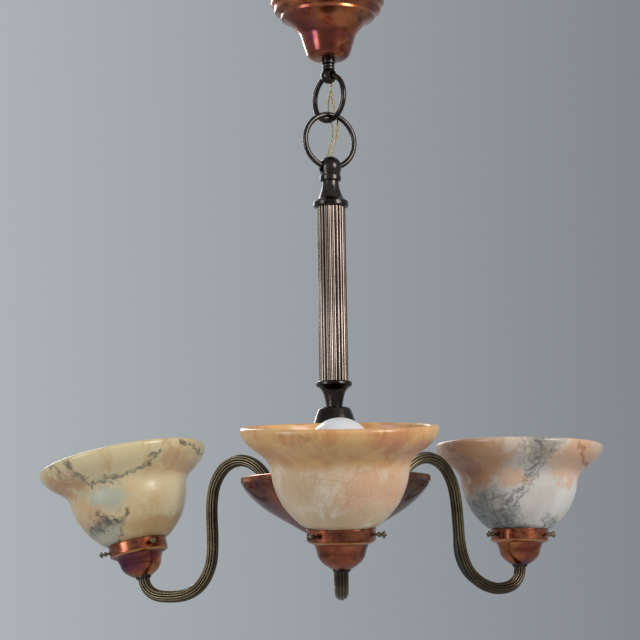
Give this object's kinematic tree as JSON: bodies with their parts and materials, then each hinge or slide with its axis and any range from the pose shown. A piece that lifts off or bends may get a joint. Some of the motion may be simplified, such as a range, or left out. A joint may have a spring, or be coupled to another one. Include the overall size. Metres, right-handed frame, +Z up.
{
  "type": "alabaster bowl pendant light",
  "caption": "Pendant light with bell-shaped alabaster shades on reeded S-arms round a copper centre bowl, hung by interlocked rings from a copper canopy.",
  "frame": {"origin": "ceiling plane at the centre of the canopy, where the strap's ears meet the ceiling", "axes": "+Z up, away from the light and into the ceiling; -Y towards the viewer and along the front arm; +X to the viewer's right, along the strap"},
  "size_m": [0.6003, 0.548, 0.625],
  "materials": {
    "alabaster": "polished, veined",
    "arm_brass": "antique brass, satin",
    "flamed_copper": "flamed copper, semi-gloss",
    "flex_cover": "gold and olive",
    "frosted_glass": "frosted white",
    "porcelain": "glazed white",
    "ring_bronze": "dark bronze, satin",
    "screw_nickel": "nickel plated, bright",
    "shell_brass": "plain brass",
    "stem_nickel": "dark nickel bronze, glossy",
    "zinc_steel": "zinc plated"
  },
  "bodies": {
    "ceiling": {"mounting_strap": "zinc_steel", "canopy": "flamed_copper", "canopy_nipple": "zinc_steel", "canopy_nuts": "zinc_steel", "terminal_block": "porcelain", "terminal_screws": "zinc_steel", "canopy_knob": "ring_bronze", "flex_upper": "flex_cover"},
    "ring_upper": {"upper_ring": "ring_bronze", "flex_middle": "flex_cover"},
    "ring_lower": {"lower_ring": "ring_bronze"},
    "pendant": {"flex_lower": "flex_cover", "stem_ball": "ring_bronze", "stem_top_cap": "ring_bronze", "fluted_tube": "stem_nickel", "stem_bottom_cap": "ring_bronze", "tie_rod": "zinc_steel", "tie_rod_nuts": "zinc_steel", "hub_bell": "ring_bronze", "hub_body": "zinc_steel", "bowl_spacer": "zinc_steel", "centre_bowl": "flamed_copper", "bowl_washer": "flamed_copper", "bowl_finial": "ring_bronze", "arm_nipples": "zinc_steel", "arm_nuts": "zinc_steel", "arm_collars": "arm_brass", "arm_flexes": "flex_cover", "lampholder_shells": "shell_brass", "arm_front": "arm_brass", "gallery_front": "flamed_copper", "lampholder_front": "porcelain", "shade_front": "alabaster", "arm_left": "arm_brass", "gallery_left": "flamed_copper", "lampholder_left": "porcelain", "shade_left": "alabaster", "arm_right": "arm_brass", "gallery_right": "flamed_copper", "lampholder_right": "porcelain", "shade_right": "alabaster"},
    "bulb_front": {"bulb_cap_front": "shell_brass", "bulb_glass_front": "frosted_glass"},
    "bulb_left": {"bulb_cap_left": "shell_brass", "bulb_glass_left": "frosted_glass"},
    "bulb_right": {"bulb_cap_right": "shell_brass", "bulb_glass_right": "frosted_glass"},
    "thumbscrew_front_a": {"thumbscrew_front_a": "screw_nickel"},
    "thumbscrew_front_b": {"thumbscrew_front_b": "screw_nickel"},
    "thumbscrew_front_c": {"thumbscrew_front_c": "screw_nickel"},
    "thumbscrew_left_a": {"thumbscrew_left_a": "screw_nickel"},
    "thumbscrew_left_b": {"thumbscrew_left_b": "screw_nickel"},
    "thumbscrew_left_c": {"thumbscrew_left_c": "screw_nickel"},
    "thumbscrew_right_a": {"thumbscrew_right_a": "screw_nickel"},
    "thumbscrew_right_b": {"thumbscrew_right_b": "screw_nickel"},
    "thumbscrew_right_c": {"thumbscrew_right_c": "screw_nickel"}
  },
  "joints": [
    {"name": "upper_ring_swing", "type": "hinge", "parent": "ceiling", "child": "ring_upper", "pos_m": [0, 0, -0.08643], "axis": [0.6334, -0.7738, 0], "range_deg": [-25, 25], "deforming": ["flex_upper"]},
    {"name": "lower_ring_swing", "type": "hinge", "parent": "ring_upper", "child": "ring_lower", "pos_m": [0, 0, -0.12758], "axis": [0.8988, 0.4384, 0], "range_deg": [-25, 25], "deforming": ["flex_middle"]},
    {"name": "stem_swing", "type": "hinge", "parent": "ring_lower", "child": "pendant", "pos_m": [0, 0, -0.18298], "axis": [0.8988, 0.4384, 0], "range_deg": [-25, 25], "deforming": ["flex_lower"]},
    {"name": "bulb_front_out", "type": "slide", "parent": "pendant", "child": "bulb_front", "axis": [0.0021, -0.1219, 0.9925], "range_m": [0, 0.04]},
    {"name": "bulb_left_out", "type": "slide", "parent": "pendant", "child": "bulb_left", "axis": [-0.1844, 0.096, 0.9781], "range_m": [0, 0.04]},
    {"name": "bulb_right_out", "type": "slide", "parent": "pendant", "child": "bulb_right", "axis": [0.0221, 0.0141, 0.9997], "range_m": [0, 0.04]},
    {"name": "thumbscrew_front_a_out", "type": "slide", "parent": "pendant", "child": "thumbscrew_front_a", "axis": [-0.7072, -0.7019, -0.0847], "range_m": [0, 0.003]},
    {"name": "thumbscrew_front_b_out", "type": "slide", "parent": "pendant", "child": "thumbscrew_front_b", "axis": [0.9659, -0.2568, -0.0336], "range_m": [0, 0.003]},
    {"name": "thumbscrew_front_c_out", "type": "slide", "parent": "pendant", "child": "thumbscrew_front_c", "axis": [-0.2587, 0.9587, 0.1182], "range_m": [0, 0.003]},
    {"name": "thumbscrew_left_a_out", "type": "slide", "parent": "pendant", "child": "thumbscrew_left_a", "axis": [-0.9828, -0.0089, -0.1844], "range_m": [0, 0.003]},
    {"name": "thumbscrew_left_b_out", "type": "slide", "parent": "pendant", "child": "thumbscrew_left_b", "axis": [0.4837, -0.8575, 0.1754], "range_m": [0, 0.003]},
    {"name": "thumbscrew_left_c_out", "type": "slide", "parent": "pendant", "child": "thumbscrew_left_c", "axis": [0.4992, 0.8665, 0.0091], "range_m": [0, 0.003]},
    {"name": "thumbscrew_right_a_out", "type": "slide", "parent": "pendant", "child": "thumbscrew_right_a", "axis": [-0.8657, -0.4998, 0.0262], "range_m": [0, 0.003]},
    {"name": "thumbscrew_right_b_out", "type": "slide", "parent": "pendant", "child": "thumbscrew_right_b", "axis": [0.8659, -0.5001, -0.0121], "range_m": [0, 0.003]},
    {"name": "thumbscrew_right_c_out", "type": "slide", "parent": "pendant", "child": "thumbscrew_right_c", "axis": [-0.0002, 0.9999, -0.0141], "range_m": [0, 0.003]}
  ]
}
